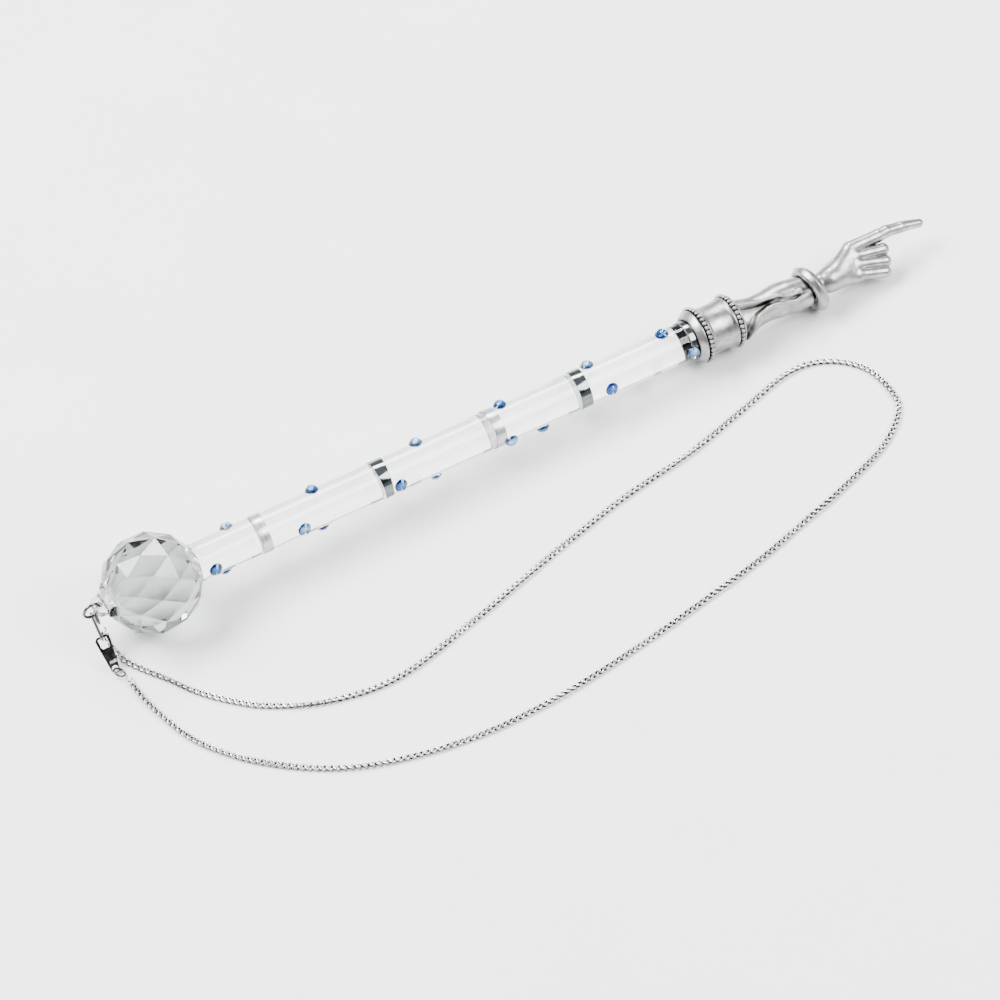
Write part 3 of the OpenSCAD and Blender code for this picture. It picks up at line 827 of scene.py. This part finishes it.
# The raised leaf and the swirl after it, in the closed part of the fold: s, y, reach, height
LEAF = (214.2, -1.0, (3.3, 0.75), 0.85)
SWIRL = (218.9, -0.9, (1.1, 0.9), 0.7)
DRAPE_H = 0.12
GROOVE_H = 0.5


def mound(s, y, spot):
    """A rounded bump on the sleeve's front."""
    middle_s, middle_y, (reach_s, reach_y), height = spot
    return height * np.exp(-((s - middle_s) / reach_s) ** 2 - ((y - middle_y) / reach_y) ** 2)


def sleeve_surface(rows, columns):
    """Points of the draped sleeve in the hand's own frame, row by row along it."""
    s = np.linspace(RIM_S + 0.02, SLEEVE_END_S, rows)[:, None]
    turn = np.linspace(0, 2 * math.pi, columns, endpoint=False)[None, :]
    upper, lower, deep = (np.interp(s, SLEEVE[:, 0], SLEEVE[:, k]) for k in (1, 2, 3))
    half = (upper - lower) / 2
    centre = (upper + lower) / 2
    y = centre + half * np.cos(turn)
    front = np.sin(turn) > 0
    low = np.interp(s, LOWER_FOLD[:, 0], LOWER_FOLD[:, 1])
    high = np.interp(s, UPPER_FOLD[:, 0], UPPER_FOLD[:, 1])
    gap = np.maximum(high - low, 0)
    inside = smoothstep(0, FOLD_EDGE, y - low) * smoothstep(0, FOLD_EDGE, high - y)
    open_end = 1 - smoothstep(207.5, 210.5, s)
    hollow = inside * smoothstep(0.1, 0.8, gap) * (0.6 + 1.6 * open_end)
    hem = (np.exp(-((y - low + HEM_OUT) / HEM_W) ** 2)
           + np.exp(-((y - high - HEM_OUT) / HEM_W) ** 2))
    folds = -hollow + HEM_H * hem + mound(s, y, LEAF) + mound(s, y, SWIRL)
    lift = np.where(front, folds, 0)
    # soft drapery all round, running off towards the ferrule, and grooves on the far side
    lift += DRAPE_H * np.sin(3 * turn + (s - 198) * 0.26) * smoothstep(198, 201, s)
    drape = np.abs(np.sin(2.5 * turn + (s - 210) * 0.16))
    lift += np.where(front, 0, -GROOVE_H * (1 - drape) ** 3 * smoothstep(199, 203, s))
    # less of it where the surface is seen on edge, so that the outline stays
    lift *= np.sqrt(np.abs(np.sin(turn))) * 0.75 + 0.25
    r_scale = 1 + lift / half
    points = np.stack((s + 0 * turn, centre + half * r_scale * np.cos(turn),
                       deep * (1 + lift / deep) * np.sin(turn)), -1)
    return points.reshape(-1, 3)


rows, columns = 150, 240
points = sleeve_surface(rows, columns)
faces = grid_faces(rows, columns) + end_caps(rows, columns)
piece("draped_sleeve", points, faces, arm, [CAST_PEWTER], "wand",
      replaces=["sleeve_arm"], sharp=70)

# ---------- cuff ----------

CUFF_WIRE_R = 1.9
CUFF_MEAN_R = 5.6
CUFF_LEAN = math.radians(12)
CUFF_BORE_R = 4.0
# The ridge round the cuff's rim, and the shallow hollow on each side of it: height, reach in
# radians round the wire, and the hollow's place
RIDGE = (0.16, 0.16)
HOLLOW = (-0.10, 0.2, 0.42)
WIRE_IN = 0.08
rows, columns = 144, 48
around = np.linspace(0, 2 * math.pi, rows, endpoint=False)[:, None]
turn = np.linspace(0, 2 * math.pi, columns, endpoint=False)[None, :]
from_rim = np.angle(np.exp(1j * turn))
ridge = RIDGE[0] * np.exp(-(from_rim / RIDGE[1]) ** 2)
hollow = HOLLOW[0] * np.exp(-((np.abs(from_rim) - HOLLOW[2]) / HOLLOW[1]) ** 2)
wire_r = CUFF_WIRE_R + ridge + hollow - WIRE_IN
r = CUFF_MEAN_R + wire_r * np.cos(turn)
# the bore is straight, to take the arm and the wrist
r = np.maximum(r, CUFF_BORE_R)
points = np.stack((wire_r * np.sin(turn) + 0 * around, r * np.cos(around), r * np.sin(around)), -1)
lean = np.array(Matrix.Rotation(CUFF_LEAN, 3, "Z"))
points = points.reshape(-1, 3) @ lean.T + np.array((CUFF_S, -CUFF_OFF, 0))
faces = grid_faces(rows, columns, close_rows=True)
piece("rolled_cuff", points, faces, arm, [CAST_PEWTER], "wand", replaces=["wrist_cuff"])

# ---------- hand ----------

def limb_distance(p, a, b, ra, rb):
    """Distance to a round-ended tapered limb."""
    a, b = np.asarray(a, float), np.asarray(b, float)
    run = b - a
    t = np.clip(((p - a) @ run) / (run @ run), 0, 1)
    near = a + t[..., None] * run
    return np.linalg.norm(p - near, axis=-1) - (ra + (rb - ra) * t)


def join(a, b, soft):
    """The union of two shapes, softened where they meet."""
    h = np.clip(0.5 + 0.5 * (b - a) / soft, 0, 1)
    return b * (1 - h) + a * h - soft * h * (1 - h)


# The hand's limbs, from the wrist out. A limb is two ends (s, y, z) and a radius at each.
WRIST = ((222.6, -1.2, 0), (231, -0.9, 0.1), 3.25, 2.95)
PALM_FROM = (231, -0.9, 0.1)
PALM_R = 2.85
# each finger's knuckle on the palm, and its radius
KNUCKLES = (((240.4, 4.5, 0.1), 2.2), ((240.4, 2.2, 0.3), 2.3), ((240, -0.8, 0.2), 2.3),
            ((239.4, -3.6, -0.1), 2.35))
INDEX = (((241, 4.75, 0.4), (250.8, 4.75, 0.3), 2.1, 2.0),
         ((250.8, 4.75, 0.3), (253.8, 4.95, 0.25), 1.98, 1.85),
         ((253.8, 4.95, 0.25), (258.8, 4.4, 0.1), 1.85, 1.72),
         ((258.8, 4.4, 0.1), (264.9, 3.2, -0.2), 1.72, 1.32))
# each folded finger's knuckle, bend and tip, and its radius at the knuckle and at the tip
FOLDED = (((241.6, 2.0, 0.7), (250.4, 0.5, 0.6), (246.2, 1.0, -2.6), 1.92, 1.4),
          ((241.2, -0.6, 0.7), (249.6, -2.9, 0.45), (245.4, -2.3, -2.7), 1.92, 1.4),
          ((240.2, -3.4, 0.4), (248.4, -5.8, 0.15), (244.6, -5.0, -2.6), 1.80, 1.25))
THUMB = (((232.5, 1.4, -1.2), (239.5, 3.4, -2.9), 2.0, 1.6),
         ((239.5, 3.4, -2.9), (246.3, 1.0, -4.0), 1.6, 1.2))
# how softly shapes run into each other, in millimetres
SOFT_PALM = 2.0
SOFT_JOINT = 0.3
SOFT_BETWEEN = 0.14
SOFT_KNUCKLE = 0.9
SOFT_THUMB_JOINT = 0.4
SOFT_THUMB = 0.45


def hand_distance(p):
    """Distance to the pointing hand's surface, negative inside it."""
    palm = limb_distance(p, *WRIST)
    for knuckle, r in KNUCKLES:
        # the four bones of the palm fan out a little from the wrist
        start = (PALM_FROM[0], PALM_FROM[1] - 0.1 * abs(knuckle[1]), PALM_FROM[2])
        palm = join(palm, limb_distance(p, start, knuckle, PALM_R, r - 0.1), SOFT_PALM)
    fingers = limb_distance(p, *INDEX[0])
    for limb in INDEX[1:]:
        fingers = join(fingers, limb_distance(p, *limb), SOFT_JOINT)
    for knuckle, bend, tip, r, r_tip in FOLDED:
        finger = limb_distance(p, knuckle, bend, r, r * 0.97)
        finger = join(finger, limb_distance(p, bend, tip, r * 0.95, r_tip), SOFT_JOINT)
        fingers = join(fingers, finger, SOFT_BETWEEN)
    thumb = limb_distance(p, *THUMB[0])
    thumb = join(thumb, limb_distance(p, *THUMB[1]), SOFT_THUMB_JOINT)
    return join(join(palm, fingers, SOFT_KNUCKLE), thumb, SOFT_THUMB)


def surface_net(low, high, step, distance):
    """A quad mesh of a distance function's zero surface.

    Each cell that the surface crosses gets one point, at the mean of the crossings on its edges.
    """
    axes = [np.arange(a, b, step) for a, b in zip(low, high)]
    cells = np.stack(np.meshgrid(*axes, indexing="ij"), -1)
    value = np.empty(cells.shape[:3])
    for i in range(len(axes[0])):
        value[i] = distance(cells[i])
    solid = value < 0
    corners = [(i, j, k) for i in (0, 1) for j in (0, 1) for k in (0, 1)]
    shape = tuple(n - 1 for n in value.shape)
    total = np.zeros(shape + (3,))
    crossings = np.zeros(shape)

    def part(array, corner):
        return array[tuple(slice(c, c + n) for c, n in zip(corner, shape))]
    for a in corners:
        for axis in range(3):
            if a[axis]:
                continue
            b = tuple(c + (i == axis) for i, c in enumerate(a))
            va, vb = part(value, a), part(value, b)
            cut = (va < 0) != (vb < 0)
            with np.errstate(divide="ignore", invalid="ignore"):
                t = np.where(cut, va / (va - vb), 0)
            spot = np.array(a)[None, None, None, :] + t[..., None] * (np.array(b) - np.array(a))
            total += np.where(cut[..., None], spot, 0)
            crossings += cut
    used = crossings > 0
    number = np.full(shape, -1)
    number[used] = np.arange(used.sum())
    base = np.stack(np.meshgrid(*[np.arange(n) for n in shape], indexing="ij"), -1)[used]
    points = np.array(low) + step * (base + total[used] / crossings[used][:, None])
    faces = []
    for axis in range(3):
        u, v = [i for i in range(3) if i != axis]
        inner = [slice(1, n) for n in shape]
        inner[axis] = slice(0, shape[axis])
        ahead = list(inner)
        ahead[axis] = slice(1, shape[axis] + 1)
        cut = solid[tuple(inner)] != solid[tuple(ahead)]
        where = np.argwhere(cut) + np.array([s.start for s in inner])
        quad = []
        for du, dv in ((0, 0), (1, 0), (1, 1), (0, 1)):
            back = where.copy()
            back[:, u] -= du
            back[:, v] -= dv
            quad.append(number[back[:, 0], back[:, 1], back[:, 2]])
        faces.append(np.stack(quad, -1))
    return points, np.concatenate(faces).tolist()


HAND_STEP = 0.17
HAND_LOW = (218.6, -8, -6.5)
HAND_HIGH = (267.5, 8.6, 4.5)
points, faces = surface_net(HAND_LOW, HAND_HIGH, HAND_STEP, hand_distance)
piece("cast_hand", points, faces, arm, [CAST_PEWTER], "wand", replaces=["pointing_hand"])

# ---------- floor and lights ----------

floor_looks = Looks("floor_paper", (0.82, 0.82, 0.82), roughness=0.75)
floor_tones = [(0.3, (0.80, 0.80, 0.80)), (0.7, (0.825, 0.825, 0.825))]
floor_looks.feed("Base Color", floor_looks.ramp(floor_looks.noise(0.05, 4), floor_tones))
floor_looks.bump(floor_looks.noise(0.001, 3), 0.05, 0.00005)
FLOOR_HALF = 3
floor_mesh = bpy.data.meshes.new("floor")
floor_corners = [(x * FLOOR_HALF, y * FLOOR_HALF, 0) for x, y in ((-1, -1), (1, -1), (1, 1), (-1, 1))]
floor_mesh.from_pydata(floor_corners, [], [(0, 1, 2, 3)])
floor_mesh.materials.append(floor_looks.material)
floor = bpy.data.objects.new("floor", floor_mesh)
bpy.context.scene.collection.objects.link(floor)


def soft_light(name, place, size, power, target=(0, 0, 0)):
    """A softbox at a place, turned to its target; size in metres, power in watts."""
    light = bpy.data.lights.new(name, "AREA")
    light.shape = "RECTANGLE"
    light.size, light.size_y = size
    light.energy = power
    lamp = bpy.data.objects.new(name, light)
    lamp.location = place
    lamp.rotation_euler = (Vector(target) - Vector(place)).to_track_quat("-Z", "Y").to_euler()
    bpy.context.scene.collection.objects.link(lamp)


soft_light("key_softbox", (-1.1, 0.9, 1.7), (1.5, 1.2), 195)
soft_light("back_softbox", (0.75, 1.35, 1.5), (0.7, 0.6), 48)
soft_light("hand_softbox", (0.62, -0.55, 0.95), (0.7, 0.7), 28, target=(0.12, 0, 0))

# A pale studio with one dark side, in front, that the polished metal reflects: its direction,
# how near to that direction it starts and is complete, and the two levels
DARK_SIDE = (0.02, -0.66, 0.751)
DARK_FROM = 0.78
DARK_FULL = 0.9
STUDIO_LEVEL = 0.72
DARK_LEVEL = 0.01
world = bpy.data.worlds.new("studio")
world.use_nodes = True
world_nodes, world_links = world.node_tree.nodes, world.node_tree.links
toward = world_nodes.new("ShaderNodeTexCoord").outputs["Generated"]
facing = world_nodes.new("ShaderNodeVectorMath")
facing.operation = "DOT_PRODUCT"
facing.inputs[1].default_value = DARK_SIDE
world_links.new(toward, facing.inputs[0])
level = world_nodes.new("ShaderNodeMapRange")
level.inputs["From Min"].default_value = DARK_FROM
level.inputs["From Max"].default_value = DARK_FULL
level.inputs["To Min"].default_value = STUDIO_LEVEL
level.inputs["To Max"].default_value = DARK_LEVEL
world_links.new(facing.outputs["Value"], level.inputs["Value"])
world_nodes["Background"].inputs["Color"].default_value = (0.95, 0.97, 1.0, 1)
world_links.new(level.outputs["Result"], world_nodes["Background"].inputs["Strength"])
bpy.context.scene.world = world

bpy.context.view_layer.update()
